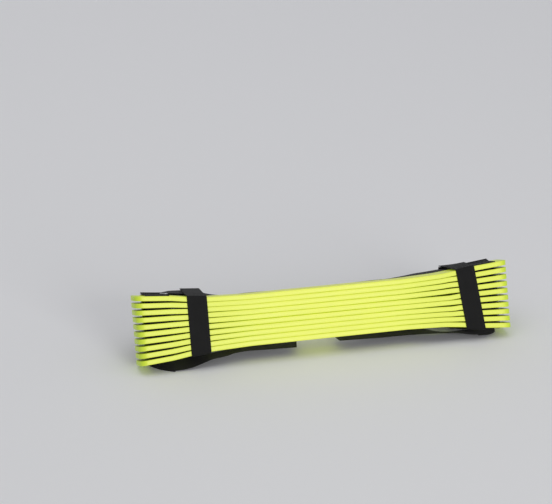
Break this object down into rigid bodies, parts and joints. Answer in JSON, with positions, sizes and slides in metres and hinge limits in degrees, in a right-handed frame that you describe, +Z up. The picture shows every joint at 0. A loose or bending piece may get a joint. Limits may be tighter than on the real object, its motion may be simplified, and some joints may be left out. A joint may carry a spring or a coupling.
{
  "type": "agility ladder",
  "caption": "Agility ladder stacked for storage: flat neon rungs threaded on two black webbing straps, held by a tie near each end.",
  "frame": {"origin": "middle of the part's footprint, on the surface that it lies on", "axes": "+X along the rungs to the right, +Y towards the folded straps behind, +Z up"},
  "size_m": [0.48, 0.0992, 0.0938],
  "materials": {
    "rung": "satin moulded neon yellow-green",
    "side_webbing": "plain woven black webbing",
    "tie": "plain woven black webbing",
    "hook_pad": "black hook tape",
    "loop_pad": "black loop tape"
  },
  "bodies": {
    "side_webbing": {"left_side_webbing": "side_webbing", "right_side_webbing": "side_webbing"},
    "rung_01": {"rung_01": "rung"},
    "rung_02": {"rung_02": "rung"},
    "rung_03": {"rung_03": "rung"},
    "rung_04": {"rung_04": "rung"},
    "rung_05": {"rung_05": "rung"},
    "rung_06": {"rung_06": "rung"},
    "rung_07": {"rung_07": "rung"},
    "rung_08": {"rung_08": "rung"},
    "rung_09": {"rung_09": "rung"},
    "rung_10": {"rung_10": "rung"},
    "left_tie": {"left_tie_band": "tie", "left_tie_loop_pad": "loop_pad"},
    "right_tie": {"right_tie_band": "tie", "right_tie_loop_pad": "loop_pad"},
    "left_tab": {"left_tie_tab": "tie", "left_tie_hook_pad": "hook_pad"},
    "right_tab": {"right_tie_tab": "tie", "right_tie_hook_pad": "hook_pad"}
  },
  "joints": [
    {"name": "rung_01_side_play", "type": "slide", "parent": "side_webbing", "child": "rung_01", "axis": [1, 0, 0], "range_m": [-0.0015, 0.0015]},
    {"name": "rung_02_side_play", "type": "slide", "parent": "side_webbing", "child": "rung_02", "axis": [1, 0, 0], "range_m": [-0.0015, 0.0015]},
    {"name": "rung_03_side_play", "type": "slide", "parent": "side_webbing", "child": "rung_03", "axis": [1, 0, 0], "range_m": [-0.0015, 0.0015]},
    {"name": "rung_04_side_play", "type": "slide", "parent": "side_webbing", "child": "rung_04", "axis": [1, 0, 0], "range_m": [-0.0015, 0.0015]},
    {"name": "rung_05_side_play", "type": "slide", "parent": "side_webbing", "child": "rung_05", "axis": [1, 0, 0], "range_m": [-0.0015, 0.0015]},
    {"name": "rung_06_side_play", "type": "slide", "parent": "side_webbing", "child": "rung_06", "axis": [1, 0, 0], "range_m": [-0.0015, 0.0015]},
    {"name": "rung_07_side_play", "type": "slide", "parent": "side_webbing", "child": "rung_07", "axis": [1, 0, 0], "range_m": [-0.0015, 0.0015]},
    {"name": "rung_08_side_play", "type": "slide", "parent": "side_webbing", "child": "rung_08", "axis": [1, 0, 0], "range_m": [-0.0015, 0.0015]},
    {"name": "rung_09_side_play", "type": "slide", "parent": "side_webbing", "child": "rung_09", "axis": [1, 0, 0], "range_m": [-0.0015, 0.0015]},
    {"name": "rung_10_side_play", "type": "slide", "parent": "side_webbing", "child": "rung_10", "axis": [1, 0, 0], "range_m": [-0.0015, 0.0015]},
    {"name": "left_tie_slide", "type": "slide", "parent": "side_webbing", "child": "left_tie", "axis": [1, 0, 0], "range_m": [0, 0.025]},
    {"name": "right_tie_slide", "type": "slide", "parent": "side_webbing", "child": "right_tie", "axis": [-1, 0, 0], "range_m": [0, 0.025]},
    {"name": "left_tab_peel", "type": "hinge", "parent": "left_tie", "child": "left_tab", "pos_m": [-0.1635, 0.04824, 0.06641], "axis": [1, 0, 0], "range_deg": [0, 100]},
    {"name": "right_tab_peel", "type": "hinge", "parent": "right_tie", "child": "right_tab", "pos_m": [0.1869, 0.0478, 0.06519], "axis": [1, 0, 0], "range_deg": [0, 100]}
  ]
}
